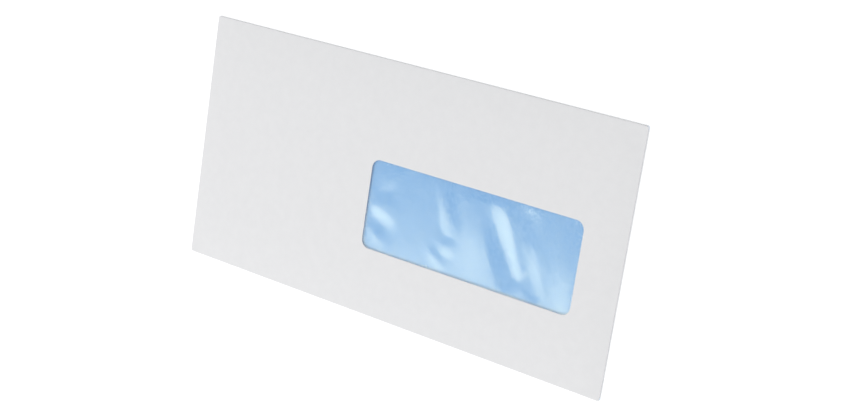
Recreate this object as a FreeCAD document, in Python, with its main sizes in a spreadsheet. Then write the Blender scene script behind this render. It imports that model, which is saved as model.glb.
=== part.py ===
import FreeCAD, Part
import math
import os

import Sketcher
from FreeCAD import Rotation, Vector

# A window envelope of the standard C5/6 size, closed but not sealed, lying face up.
# X runs along the long side with the window towards +X, and Y runs up the face to the fold of
# the seal flap. Z points out of the face, and the seal flap's outer face lies on z = 0.
# Every length is in millimetres.
driving_sizes = [
    ("envelope_length", 229.0, "long side, over the two side folds"),
    ("envelope_height", 114.0, "short side, over the bottom and top folds"),
    ("paper_thickness", 0.10, "one layer of the folded sheet"),
    ("pocket_rise", 0.6, "how far the front panel's middle stands above its edges"),
    ("shoulder_clearance", 1.0, "level paper left between the film and the front panel's shoulders"),
    ("window_length", 108.5, "hole in the front panel, along X"),
    ("window_height", 40.0, "hole in the front panel, along Y"),
    ("window_from_right", 20.0, "hole's edge to the envelope's right side"),
    ("window_from_bottom", 30.0, "hole's edge to the envelope's bottom side"),
    ("window_corner_radius", 4.0, "rounding of the hole's corners"),
    ("film_thickness", 0.04, "clear film behind the window"),
    ("film_overlap", 7.0, "film hidden behind the paper round the window"),
    ("film_ripple", 0.6, "height of the strongest ripple in the film"),
    ("film_ripple_inset", 1.5, "level film left inside the window's edge"),
    ("film_glue_thickness", 0.03, "adhesive between film and paper"),
    ("film_glue_width", 5.0, "width of the adhesive frame"),
    ("film_glue_setback", 1.0, "adhesive's inner edge back from the window's edge"),
    ("side_flap_width", 18.5, "side flap's free edge to the envelope's side"),
    ("side_flap_end_gap", 1.5, "side flap's root back from the bottom and top sides"),
    ("side_flap_taper", 9.0, "slant of the side flap's two ends, along Y"),
    ("side_flap_corner_radius", 4.0, "rounding of the side flap's free corners"),
    ("side_flap_clearance", 0.06, "air between side flap and film at the folds' level"),
    ("seam_glue_thickness", 0.03, "adhesive between side flap and back panel"),
    ("seam_glue_width", 9.0, "width of each side seam's adhesive"),
    ("seam_glue_margin", 4.0, "adhesive back from the side flap's free edge"),
    ("seam_glue_end_gap", 14.0, "adhesive back from bottom side and throat"),
    ("back_panel_inset", 1.2, "back panel's raw side edge to the envelope's side"),
    ("back_panel_corner_radius", 7.0, "rounding of the back panel's free corners"),
    ("throat_depth", 14.0, "back panel's free edge below the envelope's top side"),
    ("seal_flap_depth", 38.0, "seal flap's free edge below the envelope's top side"),
    ("seal_flap_inset", 0.8, "seal flap's root to the envelope's side"),
    ("seal_flap_taper", 11.0, "slant of the seal flap's two sides, along X"),
    ("seal_flap_corner_radius", 14.0, "rounding of the seal flap's free corners"),
    ("seal_flap_clearance", 0.08, "air between dry gum and back panel"),
    ("gum_thickness", 0.02, "dry remoistening gum on the seal flap"),
    ("gum_width", 12.0, "width of the gum band"),
    ("gum_margin", 2.5, "gum band back from the seal flap's free edge"),
    ("gum_end_gap", 12.0, "gum band back from the seal flap's slanted sides"),
]

# The ripples of the loosely held film. Each has its middle, from the window's left and bottom
# edges, its direction in degrees, half its length, half its width and its share of the full
# ripple height. A hollow has a share below zero.
film_ripples = [
    (8, 21, -10, 13, 7, 0.25),
    (9, 12, -25, 11, 6, -0.25),
    (11, 34, 47, 10, 6, 0.2),
    (42.5, 28, -70, 18, 6, 0.5),
    (44.5, 12, -5, 7, 5, 0.25),
    (57, 32, -85, 32, 13, 0.7),
    (70, 36, -65, 15, 7, 0.35),
    (71.5, 19, -64, 22, 7.5, -0.9),
    (88, 10, -73, 15, 5.5, -0.35),
    (105, 18, -85, 22, 9, 0.35),
]
# The ripples fade out over this length at the edge of the loose film, whose heights are set on
# a net of about this spacing.
ripple_fade = 6.0
film_net_step = 2.5

document = FreeCAD.newDocument("window_envelope")
sizes = document.addObject("Spreadsheet::Sheet", "sizes")
for row, (name, length, meaning) in enumerate(driving_sizes, start=1):
    sizes.set(f"A{row}", name)
    sizes.set(f"B{row}", str(length))
    sizes.set(f"C{row}", meaning)
    sizes.setAlias(f"B{row}", name)
document.recompute()


def number(expression):
    """The value, in millimetres, of an expression on the sheet's cells."""
    return float(sizes.evalExpression(expression))


# Where each layer lies at the folds, from the surface that the envelope rests on upwards.
paper = "sizes.paper_thickness"
seal_flap_inner = paper
gum_top = f"{seal_flap_inner} + sizes.gum_thickness"
back_panel_outer = f"{gum_top} + sizes.seal_flap_clearance"
back_panel_inner = f"{back_panel_outer} + {paper}"
side_flap_outer = f"{back_panel_inner} + sizes.seam_glue_thickness"
side_flap_inner = f"{side_flap_outer} + {paper}"
film_room = "sizes.side_flap_clearance + sizes.film_thickness + sizes.film_glue_thickness"
front_panel_inner = f"{side_flap_inner} + {film_room}"

# Inside the front panel's shoulders its underside is level and stands higher by the pocket's
# rise. The adhesive frame and the film hang under it there.
raised_panel_inner = f"{front_panel_inner} + sizes.pocket_rise"
film_glue_outer = f"{raised_panel_inner} - sizes.film_glue_thickness"
film_outer = f"{film_glue_outer} - sizes.film_thickness"

# Each fold is a half round whose inner radius is half the gap between the layers it joins.
side_fold_radius = f"({front_panel_inner} - ({side_flap_inner})) / 2"
bottom_fold_radius = f"({front_panel_inner} - ({back_panel_inner})) / 2"
top_fold_radius = f"({front_panel_inner} - ({seal_flap_inner})) / 2"

# Where the flat panels end and the folds begin.
right_side = "sizes.envelope_length / 2"
top_side = "sizes.envelope_height / 2"
side_fold_x = f"{right_side} - {side_fold_radius} - {paper}"
bottom_fold_y = f"-({top_side}) + {bottom_fold_radius} + {paper}"
top_fold_y = f"{top_side} - {top_fold_radius} - {paper}"

# The window's four edges, and the width of the shoulders that the front panel rises over.
window_right = f"{right_side} - sizes.window_from_right"
window_left = f"{window_right} - sizes.window_length"
window_bottom = f"-({top_side}) + sizes.window_from_bottom"
window_top = f"{window_bottom} + sizes.window_height"
film_reach = "sizes.film_overlap + sizes.shoulder_clearance"
side_shoulder = f"(sizes.window_from_right - ({film_reach}))"
long_shoulder = f"(sizes.window_from_bottom - ({film_reach}))"


def shoulder_arc(start, end):
    """The arc between two places that is level at the higher one."""
    crest, foot = (start, end) if start.y > end.y else (end, start)
    drop, run = crest.y - foot.y, abs(crest.x - foot.x)
    radius = (run**2 + drop**2) / (2 * drop)
    centre = Vector(crest.x, crest.y - radius, 0)
    angles = [math.atan2(place.y - centre.y, place.x - centre.x) for place in (start, end)]
    return Part.ArcOfCircle(Part.Circle(centre, Vector(0, 0, 1), radius), *angles)


def draw_outline(sketch, corners, arcs=()):
    """Joins corners, each a pair of expressions, by edges and ties them to the sheet.

    All edges are straight, apart from two shoulder arcs whose numbers arcs gives. Both arcs run
    on smoothly into the edge between them.
    """
    places = [Vector(number(x), number(y), 0) for x, y in corners]
    count = len(corners)
    for i in range(count):
        draw = shoulder_arc if i in arcs else Part.LineSegment
        sketch.addGeometry(draw(places[i], places[(i + 1) % count]), False)
    for i in range(count):
        after = (i + 1) % count
        smooth = i in arcs[:1] or after in arcs[1:]
        joint = "Tangent" if smooth else "Coincident"
        sketch.addConstraint(Sketcher.Constraint(joint, i, 2, after, 1))
    for i, (x, y) in enumerate(corners):
        for direction, expression, place in (("X", x, places[i].x), ("Y", y, places[i].y)):
            constraint = Sketcher.Constraint(f"Distance{direction}", i, 1, place)
            index = sketch.addConstraint(constraint)
            sketch.renameConstraint(index, f"corner_{i}_{direction.lower()}")
            sketch.setExpression(f"Constraints.corner_{i}_{direction.lower()}", expression)


def upright_edges(shape, places):
    """Names of the upright edges of a flat pad that stand on the given places."""
    close = 1e-4
    names = []
    for i, edge in enumerate(shape.Edges, start=1):
        ends = [vertex.Point for vertex in edge.Vertexes]
        for place in places:
            if all(math.hypot(end.x - place.x, end.y - place.y) < close for end in ends):
                names.append(f"Edge{i}")
    return names


def flat_panel(name, corners, underside, thickness, rounded=(), radius=None):
    """A flat layer with a straight-edged outline, and with some of its corners rounded."""
    body = document.addObject("PartDesign::Body", name)
    outline = body.newObject("Sketcher::SketchObject", f"{name}_outline")
    ground = next(plane for plane in body.Origin.OriginFeatures if plane.Role == "XY_Plane")
    outline.AttachmentSupport = [(ground, "")]
    outline.MapMode = "FlatFace"
    draw_outline(outline, corners)
    pad = body.newObject("PartDesign::Pad", f"{name}_pad")
    pad.Profile = outline
    pad.setExpression("Length", thickness)
    body.setExpression("Placement.Base.z", underside)
    document.recompute()
    if rounded:
        places = [Vector(number(x), number(y), 0) for x, y in rounded]
        fillet = body.newObject("PartDesign::Fillet", f"{name}_corners")
        fillet.Base = (pad, upright_edges(pad.Shape, places))
        fillet.setExpression("Radius", radius)
        body.Tip = fillet
    return body


def rectangle(left, right, bottom, top):
    """The corners of an upright rectangle, starting at the lower left."""
    return [(left, bottom), (right, bottom), (right, top), (left, top)]


def grown(corners_of, reach):
    """Expressions for a rectangle's left, right, bottom and top edges, all moved out by reach."""
    left, right, bottom, top = corners_of
    return (f"{left} - ({reach})", f"{right} + {reach}", f"{bottom} - ({reach})", f"{top} + {reach}")


def joined(kind, name, base, tool):
    """A cut, fuse or common of two pieces."""
    result = document.addObject(f"Part::{kind}", name)
    result.Base = base
    result.Tool = tool
    return result


def fold(name, inner_radius, length, outward, middle):
    """A half-round fold of the sheet that bulges outward, with the middle of its axis given."""
    halves = []
    for part_name, radius in (("outer", f"{inner_radius} + {paper}"), ("inner", inner_radius)):
        half = document.addObject("Part::Cylinder", f"{name}_{part_name}")
        half.Angle = 180
        half.setExpression("Radius", radius)
        half.setExpression("Height", length)
        half.setExpression("Placement.Base.z", f"-({length}) / 2")
        halves.append(half)
    ring = joined("Cut", name, *halves)
    up = Vector(0, 0, 1)
    ring.Placement.Rotation = Rotation(up, outward, up.cross(outward), "ZXY")
    for axis, expression in zip("xyz", middle):
        ring.setExpression(f"Placement.Base.{axis}", expression)
    return ring


def pillow(name, edge_level):
    """All that lies under a pillow: level in the middle, with shoulders down to four edges."""
    crest = f"{edge_level} + sizes.pocket_rise"
    towards_x, towards_y, up = Vector(1, 0, 0), Vector(0, 1, 0), Vector(0, 0, 1)
    slabs = []
    for part_name, start, end, shoulder, along, through, length in (
        ("across", f"-({side_fold_x})", side_fold_x, side_shoulder,
         towards_x, towards_y, "sizes.envelope_height"),
        ("upright", bottom_fold_y, top_fold_y, long_shoulder,
         towards_y, towards_x, "sizes.envelope_length"),
    ):
        section = document.addObject("Sketcher::SketchObject", f"{name}_{part_name}_section")
        section.Placement.Rotation = Rotation(along, up, along.cross(up), "ZXY")
        corners = [
            (start, "0"), (end, "0"), (end, edge_level),
            (f"{end} - {shoulder}", crest), (f"{start} + {shoulder}", crest), (start, edge_level),
        ]
        draw_outline(section, corners, arcs=(2, 4))
        slab = document.addObject("Part::Extrusion", f"{name}_{part_name}")
        slab.Base = section
        slab.DirMode = "Custom"
        slab.Dir = through
        slab.Solid = True
        slab.Symmetric = True
        slab.setExpression("LengthFwd", length)
        slabs.append(slab)
    return joined("Common", name, *slabs)


def swell(share):
    """A smooth hump: 1 at share 0, and 0 with a level foot from share 1 on."""
    return (1 - share**2) ** 2 if abs(share) < 1 else 0.0


def ripple_height(over, up, margin):
    """How far the loose film stands off its level at a place in the window.

    The place is given from the window's left and bottom edges, and margin is its distance from
    the edge of the loose film.
    """
    total = 0.0
    for middle_over, middle_up, direction, half_length, half_width, share in film_ripples:
        turn = math.radians(direction)
        along = (over - middle_over) * math.cos(turn) + (up - middle_up) * math.sin(turn)
        across = (up - middle_up) * math.cos(turn) - (over - middle_over) * math.sin(turn)
        total += share * swell(along / half_length) * swell(across / half_width)
    loose = 1 - swell(min(margin / ripple_fade, 1))
    return number("sizes.film_ripple") * loose * total


def rippled_sheet(name, underside, thickness, edges):
    """The loose film in the window, as an even net of heights over an upright rectangle."""
    left, right, bottom, top = [number(edge) for edge in edges]
    columns = max(4, round((right - left) / film_net_step))
    rows = max(4, round((top - bottom) / film_net_step))
    column_step, row_step = (right - left) / columns, (top - bottom) / rows
    heights = []
    for i in range(columns + 1):
        column = []
        for j in range(rows + 1):
            x, y = left + i * column_step, bottom + j * row_step
            margin = max(0, min(x - left, right - x, y - bottom, top - y))
            ripple = ripple_height(x - number(window_left), y - number(window_bottom), margin)
            column.append(number(underside) + ripple)
        heights.append(column)
    surface = Part.BSplineSurface()
    surface.interpolate(heights, left, column_step, bottom, row_step)
    sheet = document.addObject("Part::Feature", name)
    sheet.Shape = surface.toShape().extrude(Vector(0, 0, number(thickness)))
    return sheet


# The one folded sheet of paper. Its front panel rises over four shoulders to a level middle,
# which the window is cut through.
window_edges = (window_left, window_right, window_bottom, window_top)
above_all = f"2 * ({raised_panel_inner} + {paper})"
front_sheet = joined(
    "Cut", "front_sheet",
    pillow("front_outer_side", f"{front_panel_inner} + {paper}"),
    pillow("front_inner_side", front_panel_inner),
)
window_outline = rectangle(*window_edges)
window_hole = flat_panel(
    "window_hole", window_outline, "0", above_all, window_outline, "sizes.window_corner_radius",
)
sheet_panels = [joined("Cut", "front_panel", front_sheet, window_hole)]

# Its two side flaps, folded in behind the front panel, narrow towards their free edges.
side_flap_free_x = f"{right_side} - sizes.side_flap_width"
side_root_y = f"({top_side} - sizes.side_flap_end_gap)"
side_free_y = f"({side_root_y} - sizes.side_flap_taper)"
for side, sign in (("left", -1), ("right", 1)):
    root_x, free_x = f"{sign} * ({side_fold_x})", f"{sign} * ({side_flap_free_x})"
    flap_root = [(root_x, f"-{side_root_y}"), (root_x, side_root_y)]
    flap_end = [(free_x, side_free_y), (free_x, f"-{side_free_y}")]
    sheet_panels.append(flat_panel(
        f"side_flap_{side}", flap_root + flap_end, side_flap_outer, paper,
        flap_end, "sizes.side_flap_corner_radius",
    ))
    sheet_panels.append(fold(
        f"side_fold_{side}", side_fold_radius, f"2 * {side_root_y}", Vector(sign, 0, 0),
        (root_x, "0", f"{side_flap_inner} + {side_fold_radius}"),
    ))

# Its back panel, folded up from the bottom side over the side flaps.
back_panel_side = f"({right_side} - sizes.back_panel_inset)"
throat_y = f"{top_side} - sizes.throat_depth"
back_outline = rectangle(f"-{back_panel_side}", back_panel_side, bottom_fold_y, throat_y)
sheet_panels.append(flat_panel(
    "back_panel", back_outline, back_panel_outer, paper,
    back_outline[2:], "sizes.back_panel_corner_radius",
))
sheet_panels.append(fold(
    "bottom_fold", bottom_fold_radius, f"2 * {back_panel_side}", Vector(0, -1, 0),
    ("0", bottom_fold_y, f"{back_panel_inner} + {bottom_fold_radius}"),
))

# Its seal flap, folded down from the top side over the back panel.
seal_flap_root_x = f"({right_side} - sizes.seal_flap_inset)"
seal_flap_free_x = f"({seal_flap_root_x} - sizes.seal_flap_taper)"
seal_flap_free_y = f"{top_side} - sizes.seal_flap_depth"
flap_root = [(seal_flap_root_x, top_fold_y), (f"-{seal_flap_root_x}", top_fold_y)]
flap_end = [(f"-{seal_flap_free_x}", seal_flap_free_y), (seal_flap_free_x, seal_flap_free_y)]
sheet_panels.append(flat_panel(
    "seal_flap", flap_root + flap_end, "0", paper, flap_end, "sizes.seal_flap_corner_radius",
))
sheet_panels.append(fold(
    "top_fold", top_fold_radius, f"2 * {seal_flap_root_x}", Vector(0, 1, 0),
    ("0", top_fold_y, f"{seal_flap_inner} + {top_fold_radius}"),
))
envelope_paper = document.addObject("Part::MultiFuse", "envelope_paper")
envelope_paper.Shapes = sheet_panels

# The clear film: level behind the paper and round the window's edge, rippled inside it.
ripple_edges = grown(window_edges, "-1 * sizes.film_ripple_inset")
film_sheet = flat_panel(
    "film_sheet", rectangle(*grown(window_edges, "sizes.film_overlap")),
    film_outer, "sizes.film_thickness",
)
film_middle = flat_panel("film_middle", rectangle(*ripple_edges), "0", above_all)
film_border = joined("Cut", "film_border", film_sheet, film_middle)
film_ripple_sheet = rippled_sheet("film_ripples", film_outer, "sizes.film_thickness", ripple_edges)
window_film = joined("Fuse", "window_film", film_border, film_ripple_sheet)

# The frame of adhesive that holds the film to the front panel.
glue_sheet = flat_panel(
    "glue_sheet", rectangle(*grown(window_edges, "sizes.film_glue_setback + sizes.film_glue_width")),
    film_glue_outer, "sizes.film_glue_thickness",
)
glue_opening_outline = rectangle(*grown(window_edges, "sizes.film_glue_setback"))
glue_opening = flat_panel(
    "glue_opening", glue_opening_outline, "0", above_all,
    glue_opening_outline, "sizes.window_corner_radius + sizes.film_glue_setback",
)
window_glue = joined("Cut", "window_glue", glue_sheet, glue_opening)

# The adhesive of the two side seams, between the side flaps and the back panel.
seam_inner_x = f"{side_flap_free_x} + sizes.seam_glue_margin"
seam_outer_x = f"{seam_inner_x} + sizes.seam_glue_width"
seam_bottom = f"-({top_side}) + sizes.seam_glue_end_gap"
seam_top = f"{throat_y} - sizes.seam_glue_end_gap"
seam_glues = []
for side, sign in (("left", -1), ("right", 1)):
    edges = (f"{sign} * ({seam_inner_x})", f"{sign} * ({seam_outer_x})")
    seam_glues.append(flat_panel(
        f"seam_glue_{side}", rectangle(*edges, seam_bottom, seam_top),
        back_panel_inner, "sizes.seam_glue_thickness",
    ))

# The band of dry gum on the seal flap's inner face, near its free edge.
gum_end_x = f"({seal_flap_free_x} - sizes.gum_end_gap)"
gum_bottom = f"{seal_flap_free_y} + sizes.gum_margin"
flap_gum = flat_panel(
    "flap_gum",
    rectangle(f"-{gum_end_x}", gum_end_x, gum_bottom, f"{gum_bottom} + sizes.gum_width"),
    seal_flap_inner, "sizes.gum_thickness",
)

document.recompute()
for item in document.Objects:
    if "Invalid" in item.State or "Error" in item.State:
        raise RuntimeError(f"{item.Name} could not be built: {item.State}")
sub_parts = [envelope_paper, window_film, window_glue, *seam_glues, flap_gum]
for item in sub_parts:
    item.Label = item.Name
    if item.Shape.isNull() or not item.Shape.isValid() or len(item.Shape.Solids) != 1:
        raise RuntimeError(f"{item.Label} is not one sound solid")
os.makedirs("parts", exist_ok=True)
for item in sub_parts:
    item.Shape.exportStep(f"parts/{item.Label}.step")
    print(item.Label, round(item.Shape.Volume, 3), item.Shape.BoundBox)
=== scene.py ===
import math

import bmesh
import bpy
from mathutils import Matrix, Vector


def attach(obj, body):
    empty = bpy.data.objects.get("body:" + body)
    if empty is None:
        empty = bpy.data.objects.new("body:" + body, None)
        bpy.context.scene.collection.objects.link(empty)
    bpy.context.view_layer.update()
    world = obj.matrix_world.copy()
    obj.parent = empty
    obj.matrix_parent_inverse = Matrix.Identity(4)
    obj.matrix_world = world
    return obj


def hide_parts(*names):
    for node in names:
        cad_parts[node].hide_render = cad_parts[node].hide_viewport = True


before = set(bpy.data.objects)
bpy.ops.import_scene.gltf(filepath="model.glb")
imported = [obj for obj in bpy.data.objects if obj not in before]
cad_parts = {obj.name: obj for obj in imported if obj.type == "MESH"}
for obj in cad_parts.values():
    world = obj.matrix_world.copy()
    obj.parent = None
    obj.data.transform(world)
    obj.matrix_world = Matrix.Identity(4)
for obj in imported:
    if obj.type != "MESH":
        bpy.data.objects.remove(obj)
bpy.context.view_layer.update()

# The paper envelope: one die-cut sheet of white wove paper, printed blue inside, folded round
# to four levels and glued at its two side seams. It is worked as a surface through the middle
# of the paper, raised, folded and trimmed, and only then given the paper's thickness.
paper_thickness = 0.0001
front_level = 0.00061
side_flap_level = 0.00038
back_panel_level = 0.00025
seal_flap_level = 0.00005
side_fold_x = 0.114335
bottom_fold_y = -0.05677
top_fold_y = 0.05667
pocket_rise = 0.0006
side_shoulder = 0.012
long_shoulder = 0.022
crest_x = side_fold_x - side_shoulder
crest_bottom_y = bottom_fold_y + long_shoulder
crest_top_y = top_fold_y - long_shoulder
side_root_y = 0.0555
side_free_y = 0.0465
side_free_x = 0.096
back_side_x = 0.1133
throat_y = 0.043
seal_root_x = 0.1137
seal_free_x = 0.1027
seal_free_y = 0.019
window_middle = (0.04025, -0.007)
window_size = (0.1085, 0.040)
window_corner_radius = 0.004
side_flap_corner_radius = 0.004
back_panel_corner_radius = 0.007
seal_flap_corner_radius = 0.014
crease_margin = 0.0006
side_crease_margin = 0.3 * crease_margin
panel_net = (90, 38)
round_steps = 8
hair = 0.000001


def deselect_objects():
    """Leaves nothing selected, so that an operator works on the new piece alone."""
    for item in bpy.context.selected_objects:
        item.select_set(False)


def start_piece(name):
    """Names the primitive just added and opens it in edit mode, all selected."""
    piece = bpy.context.object
    piece.name = name
    piece.data.name = name
    bpy.ops.object.mode_set(mode="EDIT")
    bpy.context.tool_settings.mesh_select_mode = (True, False, False)
    bpy.ops.mesh.select_all(action="SELECT")
    return piece


def select_where(piece, test, kind="verts"):
    """Selects the vertices, edges or faces that lie where a test says."""
    bpy.ops.mesh.select_all(action="DESELECT")
    mesh = bmesh.from_edit_mesh(piece.data)
    for vert in mesh.verts:
        vert.select = kind == "verts" and test(vert.co)
    for edge in mesh.edges:
        if kind == "edges":
            edge.select_set(edge.select or all(test(vert.co) for vert in edge.verts))
    for face in mesh.faces:
        if kind == "faces" and test(face.calc_center_median()):
            face.select_set(True)
    if kind == "verts":
        mesh.select_flush_mode()
    bmesh.update_edit_mesh(piece.data)


def cut_across(place, direction):
    """Scores a line right across the piece, without parting it."""
    bpy.ops.mesh.select_all(action="SELECT")
    bpy.ops.mesh.bisect(plane_co=place, plane_no=direction)


def near(value, target):
    """Whether a coordinate is on a line of the sheet."""
    return abs(value - target) < 2 * hair


# The front panel is a net of small squares. Its shoulders along the long sides are worked at
# the width of the short ones, so that one soft pull raises all four, and then drawn out.
lower_y = crest_bottom_y - side_shoulder
upper_y = crest_top_y + side_shoulder
deselect_objects()
bpy.ops.mesh.primitive_grid_add(
    x_subdivisions=panel_net[0], y_subdivisions=panel_net[1], size=1,
    location=(0, (lower_y + upper_y) / 2, front_level),
)
sheet = start_piece("envelope_sheet")
bpy.ops.transform.resize(
    value=(2 * side_fold_x, upper_y - lower_y, 1),
    center_override=(0, (lower_y + upper_y) / 2, front_level),
)
bpy.ops.object.mode_set(mode="OBJECT")
bpy.ops.object.transform_apply(location=True, rotation=True, scale=True)
bpy.ops.object.mode_set(mode="EDIT")
for crest in (-crest_x, crest_x):
    cut_across((crest, 0, 0), (1, 0, 0))
for crest in (crest_bottom_y, crest_top_y):
    cut_across((0, crest, 0), (0, 1, 0))
select_where(sheet, lambda at: (
    abs(at.x) < crest_x + hair and crest_bottom_y - hair < at.y < crest_top_y + hair
))
bpy.ops.transform.translate(
    value=(0, 0, pocket_rise), use_proportional_edit=True,
    proportional_edit_falloff="INVERSE_SQUARE", proportional_size=side_shoulder,
)
stretch = long_shoulder / side_shoulder
for crest, outside in ((crest_bottom_y, -1), (crest_top_y, 1)):
    select_where(sheet, lambda at: (at.y - crest) * outside > hair)
    bpy.ops.transform.resize(value=(1, stretch, 1), center_override=(0, crest, 0))

# Paper never lies quite level. A few very low, broad swellings stand clear of the window.
for middle_x, middle_y, height, reach in (
    (-0.078, 0.016, 0.00010, 0.030),
    (-0.048, -0.024, 0.00008, 0.024),
    (-0.086, -0.030, 0.00006, 0.022),
    (0.012, 0.038, 0.00006, 0.017),
    (0.074, 0.038, 0.00007, 0.016),
    (-0.034, 0.031, 0.00007, 0.020),
    (0.034, -0.045, 0.00005, 0.009),
):
    mesh = bmesh.from_edit_mesh(sheet.data)
    nearest = min(mesh.verts, key=lambda v: math.hypot(v.co.x - middle_x, v.co.y - middle_y))
    place = nearest.co.copy()
    select_where(sheet, lambda at: (at - place).length < hair)
    bpy.ops.transform.translate(
        value=(0, 0, height), use_proportional_edit=True,
        proportional_edit_falloff="SMOOTH", proportional_size=reach,
    )

# The creases are scored first: where each flap's root ends, and close inside every fold so
# that the panels stay level right up to them.
for root_end in (side_root_y, -side_root_y):
    cut_across((0, root_end, 0), (0, 1, 0))
for root_end in (back_side_x, -back_side_x, seal_root_x, -seal_root_x):
    cut_across((root_end, 0, 0), (1, 0, 0))
for edge_y in (bottom_fold_y + crease_margin, top_fold_y - crease_margin):
    cut_across((0, edge_y, 0), (0, 1, 0))
for edge_x in (side_fold_x - side_crease_margin, -side_fold_x + side_crease_margin):
    cut_across((edge_x, 0, 0), (1, 0, 0))


def fold_flap(root_test, axis_middle, axis, turn, level, free_shift, margin_shift, free_scale):
    """Bends the sheet half round at a scored edge and draws the flap out from the fold."""
    select_where(sheet, root_test, kind="edges")
    bpy.ops.mesh.spin(steps=round_steps, angle=turn, center=axis_middle, axis=axis)
    bpy.ops.mesh.extrude_region_move(TRANSFORM_OT_translate={"value": margin_shift})
    share = Vector(margin_shift).length / (Vector(margin_shift) + Vector(free_shift)).length
    margin_scale = [1 + (scale - 1) * share for scale in free_scale]
    bpy.ops.transform.resize(value=margin_scale, center_override=(0, 0, level))
    bpy.ops.mesh.extrude_region_move(TRANSFORM_OT_translate={"value": free_shift})
    rest_scale = [scale / inner for scale, inner in zip(free_scale, margin_scale)]
    bpy.ops.transform.resize(value=rest_scale, center_override=(0, 0, level))


for side in (-1, 1):
    fold_flap(
        lambda at: near(at.x, side * side_fold_x) and abs(at.y) < side_root_y + 2 * hair,
        (side * side_fold_x, 0, (front_level + side_flap_level) / 2), (0, side, 0), -math.pi,
        side_flap_level, (-side * (side_fold_x - side_free_x - crease_margin), 0, 0),
        (-side * crease_margin, 0, 0), (1, side_free_y / side_root_y, 1),
    )
fold_flap(
    lambda at: near(at.y, bottom_fold_y) and abs(at.x) < back_side_x + 2 * hair
    and near(at.z, front_level),
    (0, bottom_fold_y, (front_level + back_panel_level) / 2), (1, 0, 0), -math.pi,
    back_panel_level, (0, throat_y - bottom_fold_y - crease_margin, 0),
    (0, crease_margin, 0), (1, 1, 1),
)
fold_flap(
    lambda at: near(at.y, top_fold_y) and abs(at.x) < seal_root_x + 2 * hair
    and near(at.z, front_level),
    (0, top_fold_y, (front_level + seal_flap_level) / 2), (-1, 0, 0), -math.pi,
    seal_flap_level, (0, -(top_fold_y - seal_free_y - crease_margin), 0),
    (0, -crease_margin, 0), (seal_free_x / seal_root_x, 1, 1),
)

# The flaps' free corners are die-cut round. Their level faces are first made one again.
for level, beyond_margin in (
    (side_flap_level, lambda at: abs(at.x) < side_fold_x - crease_margin),
    (back_panel_level, lambda at: at.y > bottom_fold_y + crease_margin),
    (seal_flap_level, lambda at: at.y < top_fold_y - crease_margin),
):
    for side in (-1, 1):
        select_where(sheet, lambda at: (
            near(at.z, level) and beyond_margin(at) and (at.x * side > 0 or level != side_flap_level)
        ), kind="faces")
        bpy.ops.mesh.dissolve_faces()
for free_x, free_y, level, radius, corner_angle in (
    (side_free_x, side_free_y, side_flap_level, side_flap_corner_radius, 116.1),
    (back_side_x, throat_y, back_panel_level, back_panel_corner_radius, 90.0),
    (seal_free_x, seal_free_y, seal_flap_level, seal_flap_corner_radius, 106.3),
):
    if level == side_flap_level:
        select_where(sheet, lambda at: (
            near(at.z, level) and near(abs(at.x), free_x) and abs(at.y) < free_y - 2 * hair
        ))
        bpy.ops.mesh.dissolve_verts()
        select_where(sheet, lambda at: near(at.z, level) and near(abs(at.x), free_x))
    else:
        select_where(sheet, lambda at: (
            near(at.z, level) and near(at.y, free_y) and abs(at.x) < free_x - 2 * hair
        ))
        bpy.ops.mesh.dissolve_verts()
        select_where(sheet, lambda at: near(at.z, level) and near(at.y, free_y))
    bpy.ops.mesh.bevel(
        offset=radius / math.tan(math.radians(corner_angle / 2)), segments=round_steps,
        affect="VERTICES", clamp_overlap=False,
    )
bpy.ops.object.mode_set(mode="OBJECT")

# The sheet gets its thickness. Slot 0 is its white outside, slot 1 the printed inside and
# slot 2 the raw white edge. The window is then die-cut through the front panel.
for name in ("envelope outside", "envelope inside", "envelope cut edge"):
    sheet.data.materials.append(bpy.data.materials.new(name))
thicken = sheet.modifiers.new("paper thickness", "SOLIDIFY")
thicken.thickness = paper_thickness
thicken.offset = 0
thicken.material_offset = 1
thicken.material_offset_rim = 2
deselect_objects()
sheet.select_set(True)
bpy.context.view_layer.objects.active = sheet
bpy.ops.object.modifier_apply(modifier=thicken.name)

punch_level = 0.0015
punch_height = 0.0012
deselect_objects()
bpy.ops.mesh.primitive_cube_add(size=1, location=(*window_middle, punch_level))
punch = start_piece("window_punch")
bpy.ops.transform.resize(
    value=(*window_size, punch_height), center_override=(*window_middle, punch_level),
)
bpy.ops.object.mode_set(mode="OBJECT")
bpy.ops.object.transform_apply(location=True, rotation=True, scale=True)
bpy.ops.object.mode_set(mode="EDIT")
bpy.context.tool_settings.mesh_select_mode = (False, True, False)
bpy.ops.mesh.select_all(action="DESELECT")
punch_mesh = bmesh.from_edit_mesh(punch.data)
for edge in punch_mesh.edges:
    upright = abs(edge.verts[0].co.z - edge.verts[1].co.z) > punch_height / 2
    edge.select_set(upright)
bmesh.update_edit_mesh(punch.data)
bpy.ops.mesh.bevel(offset=window_corner_radius, segments=12, clamp_overlap=False)
bpy.ops.object.mode_set(mode="OBJECT")
cut = sheet.modifiers.new("window", "BOOLEAN")
cut.operation = "DIFFERENCE"
cut.object = punch
cut.solver = "EXACT"
deselect_objects()
sheet.select_set(True)
bpy.context.view_layer.objects.active = sheet
bpy.ops.object.modifier_apply(modifier=cut.name)
bpy.data.objects.remove(punch)
cut_edge_reach = window_size[0] / 2 + 0.00025
lowest_cut_edge = 0.0009
steepest_lie = 0.3
for face in sheet.data.polygons:
    in_window = abs(face.center.x - window_middle[0]) < cut_edge_reach
    if in_window and face.center.z > lowest_cut_edge and abs(face.normal.z) < steepest_lie:
        face.material_index = 2
bpy.ops.object.shade_smooth_by_angle(angle=math.radians(35))

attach(sheet, "root")
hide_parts("envelope_paper")

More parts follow.
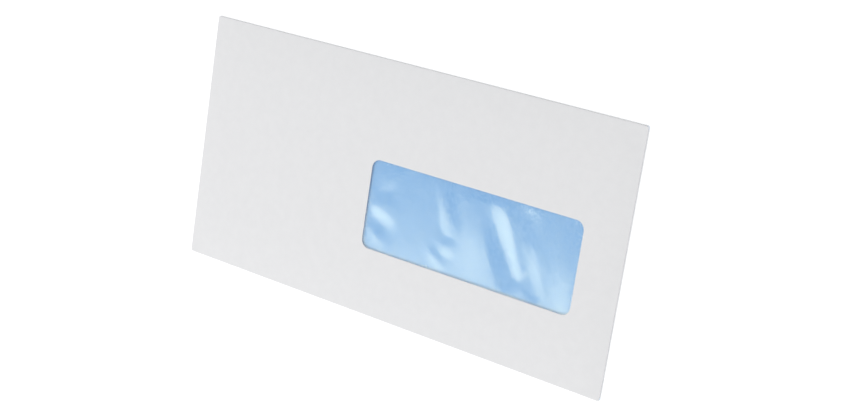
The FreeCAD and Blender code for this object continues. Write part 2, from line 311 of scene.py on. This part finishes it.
# The finish of the paper. Both faces and the cut edge show the same wove sheet: cloudy
# formation a few millimetres across and short crossing fibres, seen as tone and as relief.
wove = bpy.data.node_groups.new("wove paper", "ShaderNodeTree")
wove.interface.new_socket("Place", in_out="INPUT", socket_type="NodeSocketVector")
wove.interface.new_socket("Formation", in_out="OUTPUT", socket_type="NodeSocketFloat")
wove.interface.new_socket("Fibres", in_out="OUTPUT", socket_type="NodeSocketFloat")
group_in = wove.nodes.new("NodeGroupInput")
group_out = wove.nodes.new("NodeGroupOutput")
cloud = wove.nodes.new("ShaderNodeTexNoise")
cloud.inputs["Scale"].default_value = 260
cloud.inputs["Detail"].default_value = 4
cloud.inputs["Roughness"].default_value = 0.55
wove.links.new(group_in.outputs["Place"], cloud.inputs["Vector"])
wove.links.new(cloud.outputs["Fac"], group_out.inputs["Formation"])
fibre_total = None
for turn in (25, 100, 155):
    lay = wove.nodes.new("ShaderNodeMapping")
    lay.inputs["Rotation"].default_value = (0, 0, math.radians(turn))
    lay.inputs["Scale"].default_value = (900, 6500, 3000)
    strands = wove.nodes.new("ShaderNodeTexNoise")
    strands.inputs["Scale"].default_value = 1
    strands.inputs["Detail"].default_value = 2
    wove.links.new(group_in.outputs["Place"], lay.inputs["Vector"])
    wove.links.new(lay.outputs["Vector"], strands.inputs["Vector"])
    if fibre_total is None:
        fibre_total = strands.outputs["Fac"]
    else:
        blend = wove.nodes.new("ShaderNodeMath")
        blend.operation = "MAXIMUM"
        wove.links.new(fibre_total, blend.inputs[0])
        wove.links.new(strands.outputs["Fac"], blend.inputs[1])
        fibre_total = blend.outputs["Value"]
wove.links.new(fibre_total, group_out.inputs["Fibres"])


# Thin paper lets part of the light through to the layers under it, and cools it a little. It
# is let through to shadows alone, so the paper itself looks solid.
light_let_through = 0.62
light_tint = (0.84, 0.92, 1.0, 1)


def paper_finish(name, thin_colour, dense_colour, roughness, relief):
    """White or printed paper: two close tones by formation, and the relief of its fibres."""
    finish = bpy.data.materials[name]
    finish.use_nodes = True
    nodes, links = finish.node_tree.nodes, finish.node_tree.links
    surface = nodes["Principled BSDF"]
    surface.inputs["Specular IOR Level"].default_value = 0.35
    place = nodes.new("ShaderNodeTexCoord")
    sheet_look = nodes.new("ShaderNodeGroup")
    sheet_look.node_tree = wove
    links.new(place.outputs["Object"], sheet_look.inputs["Place"])
    share = nodes.new("ShaderNodeMix")
    share.data_type = "FLOAT"
    share.inputs[0].default_value = 0.45
    links.new(sheet_look.outputs["Formation"], share.inputs[2])
    links.new(sheet_look.outputs["Fibres"], share.inputs[3])
    tones = nodes.new("ShaderNodeValToRGB")
    tones.color_ramp.elements[0].position = 0.40
    tones.color_ramp.elements[0].color = (*thin_colour, 1)
    tones.color_ramp.elements[1].position = 0.66
    tones.color_ramp.elements[1].color = (*dense_colour, 1)
    links.new(share.outputs[0], tones.inputs["Fac"])
    links.new(tones.outputs["Color"], surface.inputs["Base Color"])
    matt = nodes.new("ShaderNodeMapRange")
    matt.inputs["To Min"].default_value = roughness + 0.06
    matt.inputs["To Max"].default_value = roughness - 0.06
    links.new(sheet_look.outputs["Fibres"], matt.inputs["Value"])
    links.new(matt.outputs["Result"], surface.inputs["Roughness"])
    bump = nodes.new("ShaderNodeBump")
    bump.inputs["Strength"].default_value = relief
    bump.inputs["Distance"].default_value = 0.00002
    links.new(sheet_look.outputs["Fibres"], bump.inputs["Height"])
    links.new(bump.outputs["Normal"], surface.inputs["Normal"])
    rays = nodes.new("ShaderNodeLightPath")
    let_through = nodes.new("ShaderNodeMath")
    let_through.operation = "MULTIPLY"
    let_through.inputs[1].default_value = light_let_through
    glow = nodes.new("ShaderNodeBsdfTransparent")
    glow.inputs["Color"].default_value = light_tint
    choice = nodes.new("ShaderNodeMixShader")
    links.new(rays.outputs["Is Shadow Ray"], let_through.inputs[0])
    links.new(let_through.outputs["Value"], choice.inputs["Fac"])
    links.new(surface.outputs["BSDF"], choice.inputs[1])
    links.new(glow.outputs["BSDF"], choice.inputs[2])
    links.new(choice.outputs["Shader"], nodes["Material Output"].inputs["Surface"])
    return finish, tones


paper_finish("envelope outside", (0.768, 0.770, 0.782), (0.790, 0.792, 0.803), 0.74, 0.5)
paper_finish("envelope cut edge", (0.70, 0.71, 0.73), (0.80, 0.80, 0.81), 0.85, 0.9)

# The blue print inside is a fine random speckle over the white sheet, so that nothing can be
# read through the paper. It is dots well under a millimetre across, denser in some places.
inside, inside_tones = paper_finish(
    "envelope inside", (0.108, 0.354, 0.700), (0.155, 0.408, 0.754), 0.70, 0.4,
)
nodes, links = inside.node_tree.nodes, inside.node_tree.links
surface = nodes["Principled BSDF"]
place = nodes.new("ShaderNodeTexCoord")
dots = nodes.new("ShaderNodeTexVoronoi")
dots.inputs["Scale"].default_value = 1100
dots.inputs["Randomness"].default_value = 1
links.new(place.outputs["Object"], dots.inputs["Vector"])
dot_edge = nodes.new("ShaderNodeValToRGB")
dot_edge.color_ramp.elements[0].position = 0.05
dot_edge.color_ramp.elements[0].color = (1, 1, 1, 1)
dot_edge.color_ramp.elements[1].position = 0.62
dot_edge.color_ramp.elements[1].color = (0, 0, 0, 1)
links.new(dots.outputs["Distance"], dot_edge.inputs["Fac"])
bare = nodes.new("ShaderNodeMix")
bare.data_type = "RGBA"
bare.inputs["B"].default_value = (0.26, 0.50, 0.81, 1)
links.new(dot_edge.outputs["Color"], bare.inputs["Factor"])
links.new(inside_tones.outputs["Color"], bare.inputs["A"])
links.new(bare.outputs["Result"], surface.inputs["Base Color"])

# The window film: clear, thin and slack, so that it lies in soft ripples between its glued
# edges and catches the light in streaks. It is level behind the paper and loose in the window.
film_level = 0.00111
film_thickness = 0.00004
film_overlap = 0.007
film_net = (155, 68)
film_ripple_fade = 0.004
film_length = window_size[0] + 2 * film_overlap
film_height = window_size[1] + 2 * film_overlap
deselect_objects()
bpy.ops.mesh.primitive_grid_add(
    x_subdivisions=film_net[0], y_subdivisions=film_net[1], size=1,
    location=(*window_middle, film_level),
)
film = start_piece("film_sheet")
bpy.ops.transform.resize(
    value=(film_length, film_height, 1), center_override=(*window_middle, film_level),
)
bpy.ops.object.mode_set(mode="OBJECT")
bpy.ops.object.transform_apply(location=True, rotation=True, scale=True)

# Each ripple has its middle from the window's left and bottom edges, its direction in degrees,
# half its length, half its width and its height, in millimetres. A hollow is below zero. They
# are placed where the softbox then shines in them much as in the photograph.
film_ripples = (
    (8, 21, -10, 13, 7, 0.15),
    (9, 12, -25, 11, 6, -0.14),
    (7, 8, -50, 8, 4, 0.08),
    (11, 34, 47, 10, 6, 0.13),
    (42.5, 28, -70, 18, 6, 0.3),
    (44.5, 12, -5, 7, 5, 0.14),
    (40, 5.5, -42, 7, 4, 0.1),
    (57, 32, -85, 32, 13, 0.4),
    (70, 36, -65, 15, 7, 0.2),
    (71.5, 19, -64, 22, 7.5, -0.55),
    (82, 8, 5, 7, 5, -0.1),
    (84, 33, -62, 12, 5.5, -0.12),
    (88, 10, -73, 15, 5.5, -0.2),
    (105, 18, -85, 22, 9, 0.2),
)


def swell(share):
    """A smooth hump: 1 at share 0, and 0 with a level foot from share 1 on."""
    return (1 - share**2) ** 2 if abs(share) < 1 else 0.0


window_left = window_middle[0] - window_size[0] / 2
window_bottom = window_middle[1] - window_size[1] / 2
for vert in film.data.vertices:
    over, up = vert.co.x - window_left, vert.co.y - window_bottom
    margin = min(over, window_size[0] - over, up, window_size[1] - up)
    if margin <= 0:
        continue
    loose = 1 - swell(min(margin / film_ripple_fade, 1))
    for middle_over, middle_up, direction, half_length, half_width, height in film_ripples:
        turn = math.radians(direction)
        aside, above = over * 1000 - middle_over, up * 1000 - middle_up
        along = aside * math.cos(turn) + above * math.sin(turn)
        across = above * math.cos(turn) - aside * math.sin(turn)
        hump = swell(along / half_length) * swell(across / half_width)
        vert.co.z += 0.001 * height * loose * hump
film.data.materials.append(bpy.data.materials.new("clear film"))
thicken = film.modifiers.new("film thickness", "SOLIDIFY")
thicken.thickness = film_thickness
thicken.offset = 0
bpy.ops.object.modifier_apply(modifier=thicken.name)
bpy.ops.object.shade_smooth_by_angle(angle=math.radians(40))

clear = film.data.materials[0]
clear.use_nodes = True
nodes, links = clear.node_tree.nodes, clear.node_tree.links
surface = nodes["Principled BSDF"]
surface.inputs["Base Color"].default_value = (0.985, 0.992, 1, 1)
surface.inputs["Roughness"].default_value = 0.155
surface.inputs["IOR"].default_value = 1.59
surface.inputs["Transmission Weight"].default_value = 1
surface.inputs["Specular Tint"].default_value = (1.0, 0.99, 0.58, 1)
place = nodes.new("ShaderNodeTexCoord")
grain = nodes.new("ShaderNodeTexNoise")
grain.inputs["Scale"].default_value = 420
grain.inputs["Detail"].default_value = 3
links.new(place.outputs["Object"], grain.inputs["Vector"])
bump = nodes.new("ShaderNodeBump")
bump.inputs["Strength"].default_value = 0.25
bump.inputs["Distance"].default_value = 0.00002
links.new(grain.outputs["Fac"], bump.inputs["Height"])
links.new(bump.outputs["Normal"], surface.inputs["Normal"])
rays = nodes.new("ShaderNodeLightPath")
lighting = nodes.new("ShaderNodeMath")
lighting.operation = "MAXIMUM"
let_through = nodes.new("ShaderNodeBsdfTransparent")
choice = nodes.new("ShaderNodeMixShader")
links.new(rays.outputs["Is Shadow Ray"], lighting.inputs[0])
links.new(rays.outputs["Is Diffuse Ray"], lighting.inputs[1])
links.new(lighting.outputs["Value"], choice.inputs["Fac"])
links.new(surface.outputs["BSDF"], choice.inputs[1])
links.new(let_through.outputs["BSDF"], choice.inputs[2])
links.new(choice.outputs["Shader"], nodes["Material Output"].inputs["Surface"])

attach(film, "root")
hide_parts("window_film")


# The adhesives keep their CAD solids. The window frame and the side seams are dried white
# glue, a little milky; the seal flap carries a band of dry gum with a faint warm gloss.
def dried_adhesive(name, pale_colour, deep_colour, roughness, streak_scale):
    """A thin dried film of adhesive with the streaks of the roller that laid it."""
    finish = bpy.data.materials.new(name)
    finish.use_nodes = True
    nodes, links = finish.node_tree.nodes, finish.node_tree.links
    surface = nodes["Principled BSDF"]
    surface.inputs["IOR"].default_value = 1.47
    place = nodes.new("ShaderNodeTexCoord")
    lay = nodes.new("ShaderNodeMapping")
    lay.inputs["Scale"].default_value = streak_scale
    streaks = nodes.new("ShaderNodeTexNoise")
    streaks.inputs["Scale"].default_value = 1
    streaks.inputs["Detail"].default_value = 4
    tones = nodes.new("ShaderNodeValToRGB")
    tones.color_ramp.elements[0].position = 0.35
    tones.color_ramp.elements[0].color = (*pale_colour, 1)
    tones.color_ramp.elements[1].position = 0.70
    tones.color_ramp.elements[1].color = (*deep_colour, 1)
    shine = nodes.new("ShaderNodeMapRange")
    shine.inputs["To Min"].default_value = roughness - 0.08
    shine.inputs["To Max"].default_value = roughness + 0.12
    bump = nodes.new("ShaderNodeBump")
    bump.inputs["Strength"].default_value = 0.4
    bump.inputs["Distance"].default_value = 0.00001
    links.new(place.outputs["Object"], lay.inputs["Vector"])
    links.new(lay.outputs["Vector"], streaks.inputs["Vector"])
    links.new(streaks.outputs["Fac"], tones.inputs["Fac"])
    links.new(streaks.outputs["Fac"], shine.inputs["Value"])
    links.new(streaks.outputs["Fac"], bump.inputs["Height"])
    links.new(tones.outputs["Color"], surface.inputs["Base Color"])
    links.new(shine.outputs["Result"], surface.inputs["Roughness"])
    links.new(bump.outputs["Normal"], surface.inputs["Normal"])
    return finish


glue = dried_adhesive(
    "dried white glue", (0.72, 0.76, 0.80), (0.62, 0.70, 0.78), 0.42, (160, 900, 400),
)
gum = dried_adhesive(
    "dry flap gum", (0.60, 0.68, 0.74), (0.66, 0.69, 0.64), 0.30, (90, 1200, 400),
)
for node_name, finish in (
    ("window_glue", glue),
    ("seam_glue_left", glue),
    ("seam_glue_right", glue),
    ("flap_gum", gum),
):
    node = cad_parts[node_name]
    node.data.materials.clear()
    node.data.materials.append(finish)

# The studio: a wide white table, a large softbox overhead and an even white room. The table
# and the room look white to the camera, and the table keeps the envelope's shadow.
table_size = 8
table_level = -0.00002
table_glow = 0.25
room_light = 0.57


def seen_straight(nodes, links):
    """Whether a surface is seen by the camera, in a mirror or through clear film: 1 or 0."""
    rays = nodes.new("ShaderNodeLightPath")
    seen = nodes.new("ShaderNodeMath")
    seen.operation = "MAXIMUM"
    seen_at_all = nodes.new("ShaderNodeMath")
    seen_at_all.operation = "MAXIMUM"
    links.new(rays.outputs["Is Camera Ray"], seen.inputs[0])
    links.new(rays.outputs["Is Glossy Ray"], seen.inputs[1])
    links.new(seen.outputs["Value"], seen_at_all.inputs[0])
    links.new(rays.outputs["Is Transmission Ray"], seen_at_all.inputs[1])
    return seen_at_all.outputs["Value"]


deselect_objects()
bpy.ops.mesh.primitive_grid_add(
    x_subdivisions=4, y_subdivisions=4, size=table_size, location=(0, 0, table_level),
)
table = bpy.context.object
table.name = "studio_table"
table_finish = bpy.data.materials.new("white table")
table_finish.use_nodes = True
nodes, links = table_finish.node_tree.nodes, table_finish.node_tree.links
surface = nodes["Principled BSDF"]
surface.inputs["Base Color"].default_value = (0.92, 0.92, 0.92, 1)
surface.inputs["Roughness"].default_value = 0.8
seen = seen_straight(nodes, links)
white = nodes.new("ShaderNodeEmission")
white.inputs["Color"].default_value = (1, 1, 1, 1)
lift = nodes.new("ShaderNodeMath")
lift.operation = "MULTIPLY"
lift.inputs[1].default_value = table_glow
links.new(seen, lift.inputs[0])
links.new(lift.outputs["Value"], white.inputs["Strength"])
both = nodes.new("ShaderNodeAddShader")
links.new(surface.outputs["BSDF"], both.inputs[0])
links.new(white.outputs["Emission"], both.inputs[1])
links.new(both.outputs["Shader"], nodes["Material Output"].inputs["Surface"])
table.data.materials.append(table_finish)

room = bpy.data.worlds.new("white room")
bpy.context.scene.world = room
room.use_nodes = True
nodes, links = room.node_tree.nodes, room.node_tree.links
backdrop = nodes["Background"]
backdrop.inputs["Color"].default_value = (1, 1, 1, 1)
seen = seen_straight(nodes, links)
level = nodes.new("ShaderNodeMapRange")
level.inputs["To Min"].default_value = room_light
level.inputs["To Max"].default_value = 1.0
links.new(seen, level.inputs["Value"])
links.new(level.outputs["Result"], backdrop.inputs["Strength"])

# The softbox's near edge stands in the mirror direction of the level film, square to the way
# in which the film's ripples tilt, so that every slope towards it shines.
softbox_height = 1.8
softbox_depth = 1.05
softbox_length = 3.0
softbox_shift = 0.10
softbox_glow = 3.85
softbox_turn = math.radians(275)
mirror_direction = Vector((-0.623, -0.339, 1.0))
edge_middle = mirror_direction * softbox_height
inward = Vector((math.cos(softbox_turn), math.sin(softbox_turn), 0))
softbox = bpy.data.lights.new("overhead softbox", "AREA")
softbox.shape = "RECTANGLE"
softbox.size = softbox_depth
softbox.size_y = softbox_length
softbox.energy = math.pi * softbox_depth * softbox_length * softbox_glow
softbox_place = bpy.data.objects.new("overhead_softbox", softbox)
bpy.context.scene.collection.objects.link(softbox_place)
sideways = Vector((-inward.y, inward.x, 0))
softbox_place.location = (
    edge_middle + inward * (softbox_depth / 2) + sideways * softbox_shift
)
softbox_place.rotation_euler = (0, 0, softbox_turn)

# The camera stands where the photograph was taken from, turned on its own axis so that the
# envelope's long side runs down to the right.
view = bpy.data.cameras.new("photograph")
view.lens = 68.16
view.sensor_width = 36
camera = bpy.data.objects.new("photograph", view)
bpy.context.scene.collection.objects.link(camera)
camera_place = Vector((0.39708, 0.15687, 0.55640))
backward = Vector((0.54959, 0.22703, 0.80400)).normalized()
upward = Vector((-0.25155, 0.96263, -0.10036)).normalized()
rightward = upward.cross(backward).normalized()
upward = backward.cross(rightward)
turned = Matrix((rightward, upward, backward)).transposed().to_4x4()
camera.matrix_world = Matrix.Translation(camera_place) @ turned
bpy.context.scene.camera = camera
bpy.context.scene.view_settings.view_transform = "Standard"
